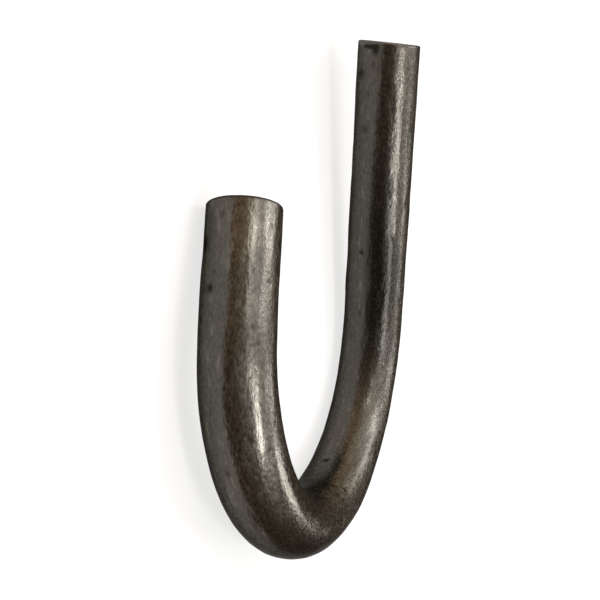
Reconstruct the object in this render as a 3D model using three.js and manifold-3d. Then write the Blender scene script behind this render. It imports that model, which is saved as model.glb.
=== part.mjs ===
// Weld-on rope hook: one length of round mild-steel bar, sheared off at the shank end,
// rounded over at the hook tip and bent cold round a former into a J.
//
// Millimetres. The hook lies on its side, as it comes to rest: X runs from the hook leg
// to the shank, Y along the shank towards its cut end, and Z is up. The origin is at the
// bottom centre of the hook's bounding box.
import * as THREE from 'three';
import { ConvexHull } from 'three/addons/math/ConvexHull.js';
import { mergeVertices } from 'three/addons/utils/BufferGeometryUtils.js';
import Module from 'manifold-3d';

// The bar and its bend.
const barDiameter = 12;
const throatWidth = 48; // inside the bend, from bar to bar
const bendAngle = 205; // degrees: more than a half turn, so the mouth is narrower than the throat
const bendLead = 7; // how far the bar drifts sideways on its way round the bend
const hookLegLength = 17.8; // straight part from the bend to the hook tip
const shankLength = 54; // straight part from the bend to the middle of the cut end

// The hook tip: its edge is rounded over all the way round, which leaves a flat in the middle.
const tipRounding = 0.4;

// The cut end: the shear went through slightly out of square, and its first bite left a small
// facet on the side towards the hook leg and the ground.
const shearSlant = 1; // degrees that the cut leans towards the hook leg
const shearTwist = 4; // degrees that it leans upwards
const biteSlope = 32; // degrees between the cut and the facet
const biteDepth = 1; // how far the facet runs down the side of the bar
const biteBearing = 40; // degrees round the bar from the hook leg's side towards the ground

// How finely the curved surfaces are divided.
const barSides = 48;
const bendSteps = 60;
const roundingSteps = 4;

const barRadius = barDiameter / 2;
const bendRadius = (throatWidth + barDiameter) / 2; // to the middle of the bar
const bendTurn = THREE.MathUtils.degToRad(bendAngle);
const bendStart = (3 * Math.PI - bendTurn) / 2; // the bottom of the bend is at -Y
const leadSlope = bendLead / (bendRadius * bendTurn);
const bendLength = bendRadius * bendTurn * Math.hypot(1, leadSlope);
const cutDistance = hookLegLength + bendLength + shankLength;
const shearWaste = barDiameter; // bar that the shear takes off beyond the cut
const cutBlock = 3 * barDiameter; // covers the bar and the waste

const wasm = await Module();
wasm.setup();

// The middle of the bar at a distance along it from the hook tip, the way that it runs there,
// and the two ways square to it: outward from the bend, and up.
function section(distance) {
  const intoBend = THREE.MathUtils.clamp((distance - hookLegLength) / bendLength, 0, 1);
  const angle = bendStart + intoBend * bendTurn;
  const along = new THREE.Vector3(-Math.sin(angle), Math.cos(angle), leadSlope).normalize();
  const outward = new THREE.Vector3(Math.cos(angle), Math.sin(angle), 0);
  const up = new THREE.Vector3().crossVectors(outward, along);
  const centre = outward.clone().multiplyScalar(bendRadius);
  centre.z = (intoBend - 0.5) * bendLead;
  centre.addScaledVector(along, distance - hookLegLength - intoBend * bendLength);
  return { centre, along, outward, up };
}

// The rings of the loft, from the hook tip to past the cut: a quarter round at the tip,
// the straight leg, even steps round the bend, and the straight shank.
function barStations() {
  const stations = [];
  for (let step = roundingSteps; step >= 0; step -= 1) {
    const turn = (step / roundingSteps) * (Math.PI / 2);
    stations.push({
      distance: tipRounding * (1 - Math.sin(turn)),
      radius: barRadius - tipRounding * (1 - Math.cos(turn)),
    });
  }
  for (let step = 0; step <= bendSteps; step += 1) {
    const distance = hookLegLength + (step / bendSteps) * bendLength;
    stations.push({ distance, radius: barRadius });
  }
  stations.push({ distance: cutDistance + shearWaste, radius: barRadius });
  return stations;
}

// One closed skin through a round section at each station, with a flat at both ends.
function loftBar(stations) {
  const corners = [];
  const triangles = [];
  for (const { distance, radius } of stations) {
    const { centre, outward, up } = section(distance);
    for (let side = 0; side < barSides; side += 1) {
      const turn = (side / barSides) * 2 * Math.PI;
      const corner = centre.clone();
      corner.addScaledVector(outward, radius * Math.cos(turn));
      corner.addScaledVector(up, radius * Math.sin(turn));
      corners.push(corner);
    }
  }
  const lastRing = (stations.length - 1) * barSides;
  const startMiddle = corners.push(section(stations[0].distance).centre) - 1;
  const endMiddle = corners.push(section(stations.at(-1).distance).centre) - 1;
  for (let side = 0; side < barSides; side += 1) {
    const next = (side + 1) % barSides;
    for (let ring = 0; ring < lastRing; ring += barSides) {
      const [near, nearNext] = [ring + side, ring + next];
      const [far, farNext] = [near + barSides, nearNext + barSides];
      triangles.push(near, far, nearNext, nearNext, far, farNext);
    }
    triangles.push(startMiddle, side, next);
    triangles.push(endMiddle, lastRing + next, lastRing + side);
  }
  return new THREE.BufferGeometry().setFromPoints(corners).setIndex(triangles);
}

function toSolid(geometry) {
  const bare = geometry.clone().deleteAttribute('normal').deleteAttribute('uv');
  const merged = mergeVertices(bare);
  const vertProperties = new Float32Array(merged.attributes.position.array);
  const triVerts = new Uint32Array(merged.index.array);
  return new wasm.Manifold(new wasm.Mesh({ numProp: 3, vertProperties, triVerts }));
}

function toGeometry(solid) {
  const mesh = solid.getMesh();
  const geometry = new THREE.BufferGeometry();
  geometry.setAttribute('position', new THREE.BufferAttribute(mesh.vertProperties, 3));
  geometry.setIndex(new THREE.BufferAttribute(mesh.triVerts, 1));
  geometry.computeVertexNormals();
  return geometry;
}

// Takes away what lies just beyond a plane, on the side that its normal points to.
function cutBeyond(solid, point, normal) {
  const block = new THREE.BoxGeometry(cutBlock, cutBlock, cutBlock);
  block.translate(0, 0, cutBlock / 2);
  const facing = new THREE.Quaternion().setFromUnitVectors(new THREE.Vector3(0, 0, 1), normal);
  block.applyQuaternion(facing).translate(point.x, point.y, point.z);
  return solid.subtract(toSolid(block));
}

// The shear's two planes: the cut through the middle of the bar, and the facet of the bite.
function shearOff(bar) {
  const { centre, along, outward, up } = section(cutDistance);
  const cutNormal = along.clone();
  cutNormal.addScaledVector(outward, -Math.tan(THREE.MathUtils.degToRad(shearSlant)));
  cutNormal.addScaledVector(up, Math.tan(THREE.MathUtils.degToRad(shearTwist))).normalize();

  const bearing = THREE.MathUtils.degToRad(biteBearing);
  const biteSide = outward.clone().multiplyScalar(-Math.cos(bearing));
  biteSide.addScaledVector(up, -Math.sin(bearing));
  const edgeRise = (-barRadius * cutNormal.dot(biteSide)) / cutNormal.dot(along);
  const biteFoot = centre.clone().addScaledVector(biteSide, barRadius);
  biteFoot.addScaledVector(along, edgeRise - biteDepth);
  const slope = THREE.MathUtils.degToRad(biteSlope);
  const biteNormal = cutNormal.clone().multiplyScalar(Math.cos(slope));
  biteNormal.addScaledVector(biteSide, Math.sin(slope)).normalize();

  return cutBeyond(cutBeyond(bar, centre, cutNormal), biteFoot, biteNormal);
}

// The centre of weight of a closed mesh, from the tetrahedra between its triangles and the origin.
function weightCentre(geometry) {
  const triangle = new THREE.Triangle();
  const total = new THREE.Vector3();
  let volume = 0;
  for (let first = 0; first < geometry.index.count; first += 3) {
    const corners = [0, 1, 2].map((corner) => geometry.index.getX(first + corner));
    triangle.setFromAttributeAndIndices(geometry.attributes.position, ...corners);
    const { a, b, c } = triangle;
    const share = a.dot(new THREE.Vector3().crossVectors(b, c));
    total.addScaledVector(a, share).addScaledVector(b, share).addScaledVector(c, share);
    volume += share;
  }
  return total.divideScalar(4 * volume);
}

// Which way is down when the hook lies on its lower side. The lead keeps the bent bar from
// lying flat: it rests on a face of its convex hull that is under its centre of weight, and
// of those on the one that is nearest to flat.
function restingDown(geometry) {
  const weight = weightCentre(geometry);
  const hull = new ConvexHull().setFromObject(new THREE.Mesh(geometry));
  const down = new THREE.Vector3();
  const foot = new THREE.Vector3();
  for (const face of hull.faces) {
    foot.copy(weight).addScaledVector(face.normal, -face.distanceToPoint(weight));
    const corners = [face.edge.tail(), face.edge.head(), face.edge.next.head()];
    const isUnder = THREE.Triangle.containsPoint(foot, ...corners.map((corner) => corner.point));
    if (isUnder && face.normal.z < down.z) down.copy(face.normal);
  }
  return down;
}

const millScaleSteel = new THREE.MeshStandardMaterial({
  color: 0x4b4844,
  roughness: 0.42,
  metalness: 0.85,
});

const bar = shearOff(toSolid(loftBar(barStations())));
const ropeHook = new THREE.Mesh(toGeometry(bar), millScaleSteel);
ropeHook.name = 'rope_hook';

const down = new THREE.Vector3(0, 0, -1);
ropeHook.quaternion.setFromUnitVectors(restingDown(ropeHook.geometry), down);
const extent = new THREE.Box3().setFromObject(ropeHook, true);
const middle = extent.getCenter(new THREE.Vector3());
ropeHook.position.set(-middle.x, -middle.y, -extent.min.z);

const part = new THREE.Group();
part.add(ropeHook);
export default part;
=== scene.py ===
# The looks of a weld-on rope hook: one length of round mild-steel bar under thin mill scale.
#
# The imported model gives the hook's place and size. A finer skin of the same form stands for it,
# with the bar's slight unevenness, its pits, the shear's marks and the finish of rolled steel.
import math
import random

import bpy
import numpy as np
from mathutils import Matrix, Quaternion, Vector, noise


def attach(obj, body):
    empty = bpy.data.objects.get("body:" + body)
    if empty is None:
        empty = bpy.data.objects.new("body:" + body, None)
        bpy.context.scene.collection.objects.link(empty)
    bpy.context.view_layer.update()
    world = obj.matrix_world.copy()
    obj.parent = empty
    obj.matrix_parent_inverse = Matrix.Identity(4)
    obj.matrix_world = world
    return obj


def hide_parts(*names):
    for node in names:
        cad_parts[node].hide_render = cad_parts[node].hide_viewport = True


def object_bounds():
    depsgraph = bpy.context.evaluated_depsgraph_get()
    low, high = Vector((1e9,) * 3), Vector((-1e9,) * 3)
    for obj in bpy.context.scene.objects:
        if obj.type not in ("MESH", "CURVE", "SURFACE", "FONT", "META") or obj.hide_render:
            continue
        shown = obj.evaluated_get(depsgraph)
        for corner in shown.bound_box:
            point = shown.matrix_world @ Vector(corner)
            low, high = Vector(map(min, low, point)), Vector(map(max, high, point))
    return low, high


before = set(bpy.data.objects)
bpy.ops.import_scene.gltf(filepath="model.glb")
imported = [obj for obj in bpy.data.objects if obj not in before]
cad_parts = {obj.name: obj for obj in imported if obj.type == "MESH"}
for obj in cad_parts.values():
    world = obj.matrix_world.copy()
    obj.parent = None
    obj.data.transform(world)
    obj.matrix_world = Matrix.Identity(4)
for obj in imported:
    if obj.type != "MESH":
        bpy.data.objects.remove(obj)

MM = 0.001
cad_low, cad_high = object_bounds()

# The bar and its bend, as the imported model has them.
BAR_RADIUS = 6 * MM
BEND_RADIUS = 30 * MM  # to the middle of the bar
BEND_TURN = math.radians(205)
BEND_LEAD = 7 * MM  # how far the bar drifts sideways on its way round the bend
HOOK_LEG = 17.8 * MM
SHANK = 54 * MM
TIP_ROUNDING = 0.4 * MM

# The cut end: a cut slightly out of square, and the facet of the shear's first bite.
SHEAR_SLANT = math.radians(1)  # in the plane of the bend
SHEAR_TWIST = math.radians(4)  # across it
BITE_SLOPE = math.radians(32)  # between the cut and the facet
BITE_DEPTH = 1 * MM  # below the cut, where the facet leaves the bar's side
BITE_BEARING = math.radians(40)  # from inward of the bend toward down
SHEAR_EDGE = 0.3 * MM  # the rounding that the blade draws over the cut's edge

# How the hook leans over to lie on its tip and on the shoulder of its bend.
REST_AXIS = Vector((-0.0418, 0.9991, 0))
REST_TURN = math.radians(7.596)

# What follows from these: where on its circle the bend starts, how steeply it leads sideways, its
# length along the bar, and how far along the bar the middle of the cut is.
BEND_START = (3 * math.pi - BEND_TURN) / 2
LEAD_SLOPE = BEND_LEAD / (BEND_RADIUS * BEND_TURN)
BEND_LENGTH = BEND_RADIUS * BEND_TURN * math.hypot(1, LEAD_SLOPE)
CUT_DISTANCE = HOOK_LEG + BEND_LENGTH + SHANK

# How finely the skin is divided.
SIDES = 128
TIP_RINGS = 8
ROUNDING_RINGS = 8
SIDE_RINGS = 620
SHEAR_EDGE_RINGS = 4
CUT_RINGS = 20
SHARP_ANGLE = math.radians(30)  # edges sharper than this are shaded as edges

# The relief of the rolled surface: (height, width across the bar, how much longer it is along it).
SWELLS = [
    (0.090 * MM, 5.0 * MM, 2.0),
    (0.065 * MM, 1.4 * MM, 4.0),
    (0.018 * MM, 0.75 * MM, 2.0),
]

# Bending has thickened the bar a little round the bend: least on the inside and outside of the
# bend, most above and below, but not in the strip that it lies on. Its reach is where along the
# bar it begins, is full, begins to fade and has gone.
BEND_SWELL = 0.22 * MM
BEND_SWELL_REACH = (22 * MM, 40 * MM, 84 * MM, 102 * MM)
BEND_SWELL_OVAL = 0.4
RESTING_STRIP = math.radians(18)

# Pits and dents: (degrees around the bar from outward of the bend toward up, distance from the tip,
# half width across the bar, half width along it, depth).
DENTS = [
    (-27, 14 * MM, 0.40 * MM, 0.45 * MM, 0.12 * MM),
    (-49, 7 * MM, 0.50 * MM, 0.90 * MM, 0.10 * MM),
    (-159, 178.5 * MM, 0.80 * MM, 0.26 * MM, 0.24 * MM),
    (-168, 178.0 * MM, 0.45 * MM, 0.75 * MM, 0.14 * MM),
    (-146, 178.8 * MM, 0.55 * MM, 0.30 * MM, 0.16 * MM),
    (-134, 173.5 * MM, 0.80 * MM, 0.70 * MM, 0.08 * MM),
    (-153, 163 * MM, 0.60 * MM, 0.50 * MM, 0.06 * MM),
    (-162, 139 * MM, 0.40 * MM, 0.35 * MM, 0.12 * MM),
    (-170, 86 * MM, 0.45 * MM, 0.40 * MM, 0.12 * MM),
    (131, 79 * MM, 0.40 * MM, 0.35 * MM, 0.10 * MM),
]
# Each dent is painted darker the deeper it is: painted shade.
DEEP = 0.1 * MM  # a dent this deep is as dark as dents get

# The small pits all over the bar: their number, how far they keep from its ends, and the least and
# most of each measure.
SMALL_PITS = 150
SMALL_PIT_SEED = 11
SMALL_PIT_MARGIN = 1 * MM
SMALL_PIT_HALF_WIDTH_MM = (0.16, 0.34)
SMALL_PIT_STRETCH = (0.8, 1.8)
SMALL_PIT_DEPTH_MM = (0.03, 0.09)

# Patches where the surface is darker (above zero) or lighter (below): placed as the dents are, with
# the amount last. The narrow light ones near the tip are painted glints: painted highlights in the
# colour.
SCALE_PATCHES_AND_PAINTED_GLINTS = [
    (150, 132 * MM, 2.5 * MM, 13 * MM, 1.0),
    (168, 150 * MM, 1.7 * MM, 28 * MM, 0.6),
    (144, 134 * MM, 0.9 * MM, 9 * MM, 0.5),
    (42, 39 * MM, 2.0 * MM, 6 * MM, -0.5),
    (20, 4 * MM, 1.6 * MM, 4 * MM, -0.4),
    # The next four narrow light patches are painted glints: painted highlights.
    (37, 6.5 * MM, 0.26 * MM, 1.7 * MM, -0.8),
    (54, 4.6 * MM, 0.26 * MM, 1.5 * MM, -0.8),
    (24, 9.0 * MM, 0.20 * MM, 1.2 * MM, -0.5),
    (66, 8.0 * MM, 0.18 * MM, 2.0 * MM, -0.5),
]
# These patches, painted glints included, are kept on the mesh as a share, with the plain surface
# halfway.
PLAIN_SCALE = 0.5
SCALE_SPAN = 4

# The end faces: how rough they are and how coarse that is, over what share of the radius the
# side's relief fades out on them, and how bare the tip's is beside the cut's.
CUT_ROUGHNESS = 0.06 * MM
TIP_ROUGHNESS = 0.03 * MM
END_GRAIN = 0.9 * MM
END_GRAIN_FRACTAL = (1, 2, 4)  # how fast the finer noise fades, how much finer each is, how many
END_FADE = 0.2
END_FROM = 0.05  # where the fade has gone this far, the end face's finish begins
TIP_BARENESS = 0.6


# ---------------------------------------------------------------- the skin of the bar


def section(distance):
    """The bar's middle at a distance from the hook tip, and its ways outward of the bend and up."""
    into_bend = np.clip((distance - HOOK_LEG) / BEND_LENGTH, 0, 1)
    angle = BEND_START + into_bend * BEND_TURN
    along = np.stack([-np.sin(angle), np.cos(angle), np.full_like(angle, LEAD_SLOPE)], -1)
    along /= math.hypot(1, LEAD_SLOPE)
    outward = np.stack([np.cos(angle), np.sin(angle), np.zeros_like(angle)], -1)
    up = np.cross(outward, along)
    centre = outward * BEND_RADIUS
    centre[..., 2] = (into_bend - 0.5) * BEND_LEAD
    centre += along * (distance - HOOK_LEG - into_bend * BEND_LENGTH)[..., None]
    return centre, outward, up


def cut_height(out, up):
    """How far past the middle of the cut the sheared end lies, at a place in the bar's section."""
    normal = np.array([-math.tan(SHEAR_SLANT), math.tan(SHEAR_TWIST), 1])
    normal /= np.linalg.norm(normal)
    bite_side = np.array([-math.cos(BITE_BEARING), -math.sin(BITE_BEARING), 0])
    foot = BAR_RADIUS * bite_side
    foot[2] = -foot @ normal / normal[2] - BITE_DEPTH
    bite = math.cos(BITE_SLOPE) * normal + math.sin(BITE_SLOPE) * bite_side
    cut = -(out * normal[0] + up * normal[1]) / normal[2]
    facet = foot[2] - ((out - foot[0]) * bite[0] + (up - foot[1]) * bite[1]) / bite[2]
    return np.minimum(cut, facet)


def skin_rings(turn):
    """The skin's rings from the tip's middle to the cut's: distance along the bar, and radius."""
    rings = []
    tip_flat = BAR_RADIUS - TIP_ROUNDING
    for step in range(1, TIP_RINGS + 1):
        rings.append((np.zeros(SIDES), tip_flat * step / TIP_RINGS))
    for step in range(1, ROUNDING_RINGS + 1):
        arc = step / ROUNDING_RINGS * math.pi / 2
        distance = TIP_ROUNDING * (1 - math.cos(arc))
        rings.append((np.full(SIDES, distance), tip_flat + TIP_ROUNDING * math.sin(arc)))

    # Within a bar's radius of the cut, the rings lean over to follow its edge.
    rim = BAR_RADIUS - SHEAR_EDGE
    edge = cut_height(rim * np.cos(turn), rim * np.sin(turn)) - SHEAR_EDGE
    side_length = CUT_DISTANCE - TIP_ROUNDING
    for step in range(1, SIDE_RINGS + 1):
        left = side_length * (1 - step / SIDE_RINGS)
        near_cut = max(0, 1 - left / BAR_RADIUS)
        rings.append((CUT_DISTANCE - left + edge * near_cut, BAR_RADIUS))

    for step in range(1, SHEAR_EDGE_RINGS):
        arc = step / SHEAR_EDGE_RINGS * math.pi / 2
        distance = CUT_DISTANCE + edge + SHEAR_EDGE * math.sin(arc)
        rings.append((distance, rim + SHEAR_EDGE * math.cos(arc)))
    for step in range(CUT_RINGS):
        radius = rim * (1 - step / CUT_RINGS)
        end = cut_height(radius * np.cos(turn), radius * np.sin(turn))
        rings.append((CUT_DISTANCE + end, radius))
    return rings


def unbent_corners():
    """The skin's corners on the bar before it is bent: ring by ring, then the ends' two middles."""
    turn = np.arange(SIDES) / SIDES * 2 * math.pi
    rings = skin_rings(turn)
    distance = np.array([ring[0] for ring in rings])
    radius = np.array([np.full(SIDES, ring[1]) for ring in rings])
    corners = np.stack([radius * np.cos(turn), radius * np.sin(turn), distance], -1)
    cut_middle = CUT_DISTANCE + float(cut_height(0.0, 0.0))
    return np.concatenate([corners.reshape(-1, 3), [[0, 0, 0], [0, 0, cut_middle]]])


def skin_faces(corner_count):
    """The quads between each ring and the next, and a fan of triangles to close each end."""
    tip_middle, cut_middle = corner_count - 2, corner_count - 1
    last_ring = tip_middle - SIDES
    faces = []
    for ring in range(0, last_ring, SIDES):
        for side in range(SIDES):
            near = ring + side
            near_next = ring + (side + 1) % SIDES
            faces.append((near, near + SIDES, near_next + SIDES, near_next))
    for side in range(SIDES):
        following = (side + 1) % SIDES
        faces.append((tip_middle, side, following))
        faces.append((cut_middle, last_ring + following, last_ring + side))
    return faces


def relief(unbent):
    """The height of the rolled surface's unevenness at each corner of the unbent bar."""
    height = np.zeros(len(unbent))
    for amount, width, stretch in SWELLS:
        scale = Vector((1 / width, 1 / width, 1 / (width * stretch)))
        places = unbent * np.array(scale)
        height += amount * np.array([noise.noise(place) for place in places])
    return height


def bend_swell(unbent):
    """How much thicker the bar is at each corner than its plain round, from having been bent."""
    share = np.interp(unbent[:, 2], BEND_SWELL_REACH, (0, 1, 1, 0))
    share *= share * (3 - 2 * share)
    bearing = np.arctan2(unbent[:, 1], unbent[:, 0])
    from_underside = bearing + math.pi / 2
    resting = np.exp(-((from_underside / RESTING_STRIP) ** 2))
    return BEND_SWELL * share * (1 - BEND_SWELL_OVAL * np.cos(2 * bearing)) * (1 - resting)


def all_dents():
    """The listed dents and the many small pits."""
    draw = random.Random(SMALL_PIT_SEED)
    dents = list(DENTS)
    for _ in range(SMALL_PITS):
        bearing = draw.uniform(-180, 180)
        distance = draw.uniform(SMALL_PIT_MARGIN, CUT_DISTANCE - SMALL_PIT_MARGIN)
        across = draw.uniform(*SMALL_PIT_HALF_WIDTH_MM) * MM
        along = across * draw.uniform(*SMALL_PIT_STRETCH)
        depth = draw.uniform(*SMALL_PIT_DEPTH_MM) * MM
        dents.append((bearing, distance, across, along, depth))
    return dents


def spread(unbent, spots):
    """The sum, at each corner of the unbent bar, of rounded spots on its side."""
    total = np.zeros(len(unbent))
    bearings = np.arctan2(unbent[:, 1], unbent[:, 0])
    for bearing, distance, across, along, most in spots:
        turned = (bearings - math.radians(bearing) + math.pi) % (2 * math.pi) - math.pi
        reach = (turned * BAR_RADIUS / across) ** 2 + ((unbent[:, 2] - distance) / along) ** 2
        total += most * np.exp(-reach / 2)
    return total


def skin_mesh():
    """The whole hook as one closed mesh, bent, with the values that its material reads."""
    unbent = unbent_corners()
    radial = np.hypot(unbent[:, 0], unbent[:, 1])
    on_side = np.clip(1 - (1 - radial / BAR_RADIUS) / END_FADE, 0, 1)
    beyond_middle = unbent[:, 2] > CUT_DISTANCE / 2
    on_cut = (1 - on_side) * beyond_middle
    on_tip = (1 - on_side) * ~beyond_middle

    dents = spread(unbent, all_dents())
    height = relief(unbent) + bend_swell(unbent) - dents
    shaped = unbent.copy()
    shaped[:, :2] *= (1 + on_side * height / BAR_RADIUS)[:, None]
    grained = unbent / END_GRAIN
    grain = np.array([noise.fractal(place, *END_GRAIN_FRACTAL) for place in grained])
    shaped[:, 2] += grain * (on_cut * CUT_ROUGHNESS + on_tip * TIP_ROUGHNESS)

    centre, outward, up = section(shaped[:, 2])
    corners = centre + outward * shaped[:, :1] + up * shaped[:, 1:2]
    mesh = bpy.data.meshes.new("rope_hook_skin")
    mesh.from_pydata(corners.tolist(), [], skin_faces(len(corners)))

    place = mesh.attributes.new("unbent_mm", "FLOAT_VECTOR", "POINT")
    place.data.foreach_set("vector", (unbent / MM).astype(np.float32).ravel())
    marks = {
        # The dents' depth, which sets the painted shade in them.
        "dent": on_side * np.clip(dents / DEEP, 0, 1),
        "bare": (on_cut > END_FROM) + TIP_BARENESS * (on_tip > END_FROM),
        "scale": PLAIN_SCALE + spread(unbent, SCALE_PATCHES_AND_PAINTED_GLINTS) / SCALE_SPAN,
    }
    for name, values in marks.items():
        mark = mesh.attributes.new(name, "FLOAT", "POINT")
        mark.data.foreach_set("value", values.astype(np.float32))
    return mesh


def place_at_rest(mesh):
    """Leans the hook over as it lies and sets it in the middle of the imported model's box."""
    mesh.transform(Quaternion(REST_AXIS, REST_TURN).to_matrix().to_4x4())
    corners = np.empty(len(mesh.vertices) * 3)
    mesh.vertices.foreach_get("co", corners)
    corners = corners.reshape(-1, 3)
    skin_low, skin_high = Vector(corners.min(0)), Vector(corners.max(0))
    shift = (cad_low + cad_high) / 2 - (skin_low + skin_high) / 2
    mesh.transform(Matrix.Translation(shift))


# ---------------------------------------------------------------- the finish

METALNESS = 0.96
EDGE_TINT = (0.3, 0.3, 0.3, 1)  # keeps the metal from whitening where it is seen edge-on

# Noise runs in millimetres on the unbent bar. These draw it out along the bar, a lot or a little,
# or in streaks across the cut, as the shear tore it.
DRAWN_OUT = (1, 1, 0.3)
SLIGHTLY_DRAWN_OUT = (1, 1, 0.65)
TEAR_STREAKS = (2.6, 0.5, 0.3)

# Each noise: how fine it is (per millimetre), its detail and its roughness.
MOTTLE_NOISE = (2.4, 2, 0.5)
CLOUD_NOISE = (0.22, 3, 0.6)
FLECK_NOISE = (1.1, 3, 0.6)
TEAR_NOISE = (1.0, 3, 0.6)
GRAIN_NOISE = (2.2, 1, 0.5)

# The scale's mottled grey, how far its clouds go brown, and where its flecks are rubbed bright.
MOTTLE = [(0.3, (0.112, 0.105, 0.093)), (0.7, (0.188, 0.177, 0.157))]
BROWN = (0.160, 0.134, 0.108)
BROWN_SHARE = [(0.45, 0.0), (0.62, 0.32)]
RUBBED = (0.264, 0.247, 0.219)
RUBBED_SHARE = [(0.56, 0.0), (0.74, 1.0)]
# How light the surface is along that share, from the lightest patches, where the painted glints
# are, to the darkest.
SCALE_AND_PAINTED_GLINT_LIGHTNESS = [(0.25, 2.2), (PLAIN_SCALE, 1.0), (0.75, 0.4), (1.0, 0.12)]
# The bare steel of the ends; painted shade in the dents; and a dark line of painted shade round the
# tip's rounded rim, by millimetres from the tip.
TORN = [(0.3, (0.187, 0.174, 0.157)), (0.7, (0.363, 0.346, 0.326))]
DENT_PAINTED_SHADE = (0.033, 0.029, 0.024)
RIM_PAINTED_SHADE = (0.038, 0.034, 0.029)
RIM_SHADE_SHARE = [(0.0, 0.0), (0.03, 0.75), (0.3, 0.75), (0.55, 0.0)]

ROUGHNESS = [(0.3, 0.20), (0.75, 0.38)]  # along the mottle, from its dark to its light
GRAIN_STRENGTH = 0.75
GRAIN_HEIGHT = 0.06 * MM


class Nodes:
    """Short calls that build a node tree."""

    def __init__(self, tree):
        self.tree = tree

    def add(self, kind, inputs=None, **settings):
        """A new node, with each input linked to another node's output or set to a plain value."""
        node = self.tree.nodes.new(kind)
        for name, value in settings.items():
            setattr(node, name, value)
        for name, value in (inputs or {}).items():
            self.feed(node.inputs[name], value)
        return node

    def feed(self, socket, value):
        if isinstance(value, bpy.types.NodeSocket):
            self.tree.links.new(value, socket)
        else:
            socket.default_value = value

    def attribute(self, name, output="Fac"):
        return self.add("ShaderNodeAttribute", attribute_name=name).outputs[output]

    def stretched(self, places, scale):
        inputs = {"Vector": places, "Scale": scale}
        return self.add("ShaderNodeMapping", inputs, vector_type="POINT").outputs["Vector"]

    def noise(self, places, settings):
        scale, detail, roughness = settings
        inputs = {"Vector": places, "Scale": scale, "Detail": detail, "Roughness": roughness}
        return self.add("ShaderNodeTexNoise", inputs).outputs["Fac"]

    def calculate(self, operation, *values):
        return self.add("ShaderNodeMath", dict(enumerate(values)), operation=operation).outputs[0]

    def share(self, value, lowest=0.0):
        """How far a value has come on its way from the lowest to 1, held between 0 and 1."""
        inputs = {"Value": value, "From Min": lowest}
        return self.add("ShaderNodeMapRange", inputs).outputs["Result"]

    def ramp(self, value, stops):
        """The colour, or the grey for a plain number, that lies at a value between the stops."""
        node = self.add("ShaderNodeValToRGB", {"Fac": value})
        elements = node.color_ramp.elements
        while len(elements) < len(stops):
            elements.new(0.5)
        for element, (position, colour) in zip(elements, stops):
            if not isinstance(colour, tuple):
                colour = (colour, colour, colour)
            element.position = position
            element.color = (*colour, 1)
        return node.outputs["Color"]

    def mix(self, share, first, second, blend="MIX"):
        """Two colours mixed, or blended in another way. The second may be three plain numbers."""
        node = self.add("ShaderNodeMix", data_type="RGBA", blend_type=blend)
        if isinstance(second, tuple):
            second = (*second, 1)
        for name, kind, value in [
            ("Factor", "VALUE", share),
            ("A", "RGBA", first),
            ("B", "RGBA", second),
        ]:
            self.feed(next(s for s in node.inputs if s.name == name and s.type == kind), value)
        return next(s for s in node.outputs if s.type == "RGBA")


def new_material(name):
    material = bpy.data.materials.new(name)
    material.use_nodes = True
    return material, Nodes(material.node_tree), material.node_tree.nodes["Principled BSDF"]


def mill_scale_steel():
    """Steel under thin dark mill scale: mottled, brown in places, rubbed bright in small flecks,
    with painted glints near the tip and painted shade in its dents and round the tip's rim.
    """
    material, nodes, shader = new_material("mill_scale_steel")
    shader.inputs["Metallic"].default_value = METALNESS
    shader.inputs["Specular Tint"].default_value = EDGE_TINT

    place = nodes.attribute("unbent_mm", "Vector")
    drawn_out = nodes.stretched(place, DRAWN_OUT)
    slightly_drawn_out = nodes.stretched(place, SLIGHTLY_DRAWN_OUT)
    mottle = nodes.noise(slightly_drawn_out, MOTTLE_NOISE)

    colour = nodes.ramp(mottle, MOTTLE)
    brown = nodes.ramp(nodes.noise(drawn_out, CLOUD_NOISE), BROWN_SHARE)
    colour = nodes.mix(brown, colour, BROWN)
    rubbed = nodes.ramp(nodes.noise(drawn_out, FLECK_NOISE), RUBBED_SHARE)
    colour = nodes.mix(rubbed, colour, RUBBED)
    # Lighter or darker by the patches; the narrow light ones near the tip are painted glints.
    lightness = nodes.ramp(nodes.attribute("scale"), SCALE_AND_PAINTED_GLINT_LIGHTNESS)
    colour = nodes.mix(1.0, colour, lightness, "MULTIPLY")
    torn = nodes.ramp(nodes.noise(nodes.stretched(place, TEAR_STREAKS), TEAR_NOISE), TORN)
    colour = nodes.mix(nodes.attribute("bare"), colour, torn)
    # Painted shade in the dents, darker the deeper they are.
    colour = nodes.mix(nodes.attribute("dent"), colour, DENT_PAINTED_SHADE)
    from_tip = nodes.add("ShaderNodeSeparateXYZ", {"Vector": place}).outputs["Z"]
    # Painted shade: a dark line painted round the tip's rounded rim.
    rim = nodes.ramp(nodes.share(from_tip), RIM_SHADE_SHARE)
    colour = nodes.mix(rim, colour, RIM_PAINTED_SHADE)
    nodes.feed(shader.inputs["Base Color"], colour)
    nodes.feed(shader.inputs["Roughness"], nodes.ramp(mottle, ROUGHNESS))

    grain = nodes.noise(slightly_drawn_out, GRAIN_NOISE)
    inputs = {"Height": grain, "Strength": GRAIN_STRENGTH, "Distance": GRAIN_HEIGHT}
    bump = nodes.add("ShaderNodeBump", inputs)
    nodes.feed(shader.inputs["Normal"], bump.outputs["Normal"])
    return material


# ---------------------------------------------------------------- the studio

CAMERA_PLACE = Vector((-0.15545, 0.00146, 0.07724))
CAMERA_LOOK = Vector((0.904223, -0.026589, -0.426233))
CAMERA_UP = Vector((0.003294, 0.998464, -0.055298))
CAMERA_SENSOR = 36  # millimetres wide, as the lens is millimetres long
CAMERA_LENS = 57.285
CAMERA_CLIP = 1 * MM

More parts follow.
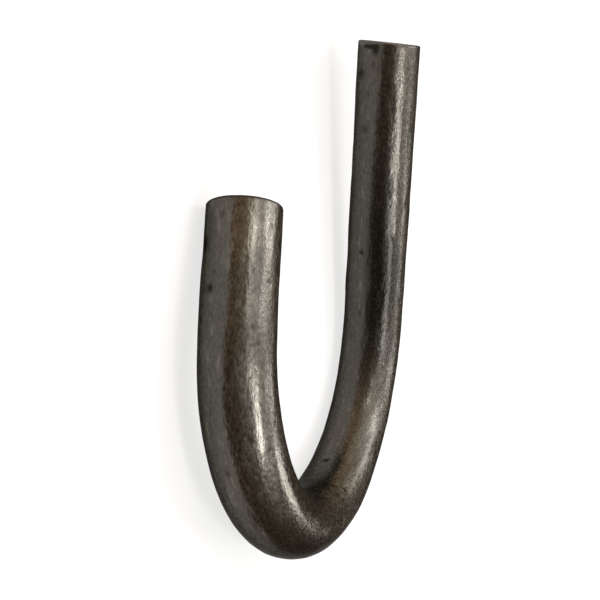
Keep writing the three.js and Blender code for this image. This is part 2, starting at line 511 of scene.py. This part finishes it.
# The floor's sheet, its grey, and how strongly it glows to the camera and in reflections.
FLOOR_LOW = (-0.085, -0.13)
FLOOR_HIGH = (0.15, 0.15)
FLOOR_GREY = (0.35, 0.35, 0.35, 1)
FLOOR_ROUGHNESS = 0.9
FLOOR_GLOW_SEEN = 0.74
FLOOR_GLOW_MIRRORED = 0.215
WHITE = (1, 1, 1)

# Each lamp: its azimuth from +X toward +Y and its elevation, how many degrees wide and high it
# looks from the hook, and its radiance.
LAMPS = {
    "near_lamp": (-148, 71, 10, 11, 9.0),
    "front_lamp": (-112, 63, 13, 18, 8.6),
    "far_lamp": (-28, 39, 9, 24, 7.0),
    "edge_lamp": (-8, 54, 5, 10, 7),
    "side_lamp": (28, 47, 11, 28, 2.7),
    "top_lamp": (48, 65, 8, 9, 9),
    "back_lamp": (134, 51, 11, 12, 3.6),
}
LAMP_DISTANCE = 0.8

# The studio's brightness from the horizon, halfway along, to straight above.
STUDIO_RISE = [
    (0.5, (0.097, 0.058, 0.031)),
    (0.604, (0.089, 0.058, 0.034)),
    (0.711, (0.115, 0.090, 0.059)),
    (0.808, (0.162, 0.138, 0.106)),
    (0.883, (0.252, 0.232, 0.202)),
    (0.953, (0.391, 0.373, 0.345)),
    (1.0, (0.322, 0.308, 0.288)),
]
# How the studio brightens toward its bright side, beyond the ends of the hook leg and shank.
STUDIO_BRIGHT_SIDE = (0.3, 0.954, 0)
STUDIO_ACROSS = [
    (0.0, (0.85, 0.85, 0.85)),
    (0.25, (1.4, 1.4, 1.4)),
    (0.5, (2.3, 2.3, 2.3)),
    (0.7, (3.5, 3.5, 3.6)),
    (0.86, (5.8, 6.0, 6.6)),
    (1.0, (6.3, 6.5, 7.2)),
]
# How its light cools from behind the hook leg to beyond the shank.
STUDIO_COOLING = [(0.5, (1.0, 1.0, 1.0)), (0.95, (0.95, 1.04, 1.14))]


def add_object(name, data):
    added = bpy.data.objects.new(name, data)
    bpy.context.collection.objects.link(added)
    return added


def add_camera():
    """The camera looks down from beside the hook leg, turned so that the shank points up."""
    camera = add_object("camera", bpy.data.cameras.new("camera"))
    camera.data.sensor_width = CAMERA_SENSOR
    camera.data.lens = CAMERA_LENS
    camera.data.clip_start = CAMERA_CLIP
    right = CAMERA_LOOK.cross(CAMERA_UP).normalized()
    up = right.cross(CAMERA_LOOK).normalized()
    turn = Matrix((right, up, -CAMERA_LOOK.normalized())).transposed()
    camera.matrix_world = Matrix.Translation(CAMERA_PLACE) @ turn.to_4x4()
    bpy.context.scene.camera = camera


def add_floor():
    """A pale sheet to lie on, white where nothing shades it, that keeps the hook's shadow."""
    mesh = bpy.data.meshes.new("floor")
    (left, near), (right, far) = FLOOR_LOW, FLOOR_HIGH
    corners = [(left, near, 0), (right, near, 0), (right, far, 0), (left, far, 0)]
    mesh.from_pydata(corners, [], [(0, 1, 2, 3)])
    floor = add_object("floor", mesh)
    material, nodes, shader = new_material("pale_floor")
    shader.inputs["Base Color"].default_value = FLOOR_GREY
    shader.inputs["Roughness"].default_value = FLOOR_ROUGHNESS
    shader.inputs["Emission Color"].default_value = (*WHITE, 1)
    rays = nodes.add("ShaderNodeLightPath").outputs
    seen = nodes.calculate("MULTIPLY", rays["Is Camera Ray"], FLOOR_GLOW_SEEN)
    mirrored = nodes.calculate("MAXIMUM", rays["Is Glossy Ray"], rays["Is Transmission Ray"])
    glow = nodes.calculate("MULTIPLY_ADD", mirrored, FLOOR_GLOW_MIRRORED, seen)
    nodes.feed(shader.inputs["Emission Strength"], glow)
    mesh.materials.append(material)


def add_lamp(name, azimuth, elevation, width, height, radiance):
    """A soft lamp that faces the hook from LAMP_DISTANCE away."""
    around, above = math.radians(azimuth), math.radians(elevation)
    level = math.cos(above)
    toward = Vector((level * math.cos(around), level * math.sin(around), math.sin(above)))
    lamp = add_object(name, bpy.data.lights.new(name, "AREA"))
    lamp.data.shape = "RECTANGLE"
    lamp.data.size = 2 * LAMP_DISTANCE * math.tan(math.radians(width) / 2)
    lamp.data.size_y = 2 * LAMP_DISTANCE * math.tan(math.radians(height) / 2)
    lamp.data.energy = radiance * math.pi * lamp.data.size * lamp.data.size_y
    lamp.location = toward * LAMP_DISTANCE
    lamp.rotation_mode = "QUATERNION"
    lamp.rotation_quaternion = (-toward).to_track_quat("-Z", "Y")


def add_world():
    """White to the camera, and a plain studio to everything else."""
    world = bpy.data.worlds.new("studio")
    bpy.context.scene.world = world
    world.use_nodes = True
    nodes = Nodes(world.node_tree)
    way = nodes.add("ShaderNodeTexCoord").outputs["Generated"]
    parts = nodes.add("ShaderNodeSeparateXYZ", {"Vector": way}).outputs
    pair = {0: way, 1: STUDIO_BRIGHT_SIDE}
    across = nodes.add("ShaderNodeVectorMath", pair, operation="DOT_PRODUCT").outputs["Value"]
    studio = nodes.ramp(nodes.share(parts["Z"], -1.0), STUDIO_RISE)
    brightening = nodes.ramp(nodes.share(across, -1.0), STUDIO_ACROSS)
    studio = nodes.mix(1.0, studio, brightening, "MULTIPLY")
    cooling = nodes.ramp(nodes.share(parts["X"], -1.0), STUDIO_COOLING)
    studio = nodes.mix(1.0, studio, cooling, "MULTIPLY")
    seen = nodes.add("ShaderNodeLightPath").outputs["Is Camera Ray"]
    background = world.node_tree.nodes["Background"]
    nodes.feed(background.inputs["Color"], nodes.mix(seen, studio, WHITE))
    background.inputs["Strength"].default_value = 1


# ---------------------------------------------------------------- the scene

bpy.context.scene.view_settings.view_transform = "Standard"
add_camera()
add_floor()
add_world()
for lamp_name, lamp_measures in LAMPS.items():
    add_lamp(lamp_name, *lamp_measures)

skin = add_object("rope_hook_skin", skin_mesh())
place_at_rest(skin.data)
skin.data.shade_smooth()
skin.data.set_sharp_from_angle(angle=SHARP_ANGLE)
skin.data.materials.append(mill_scale_steel())
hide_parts("rope_hook")
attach(skin, "root")
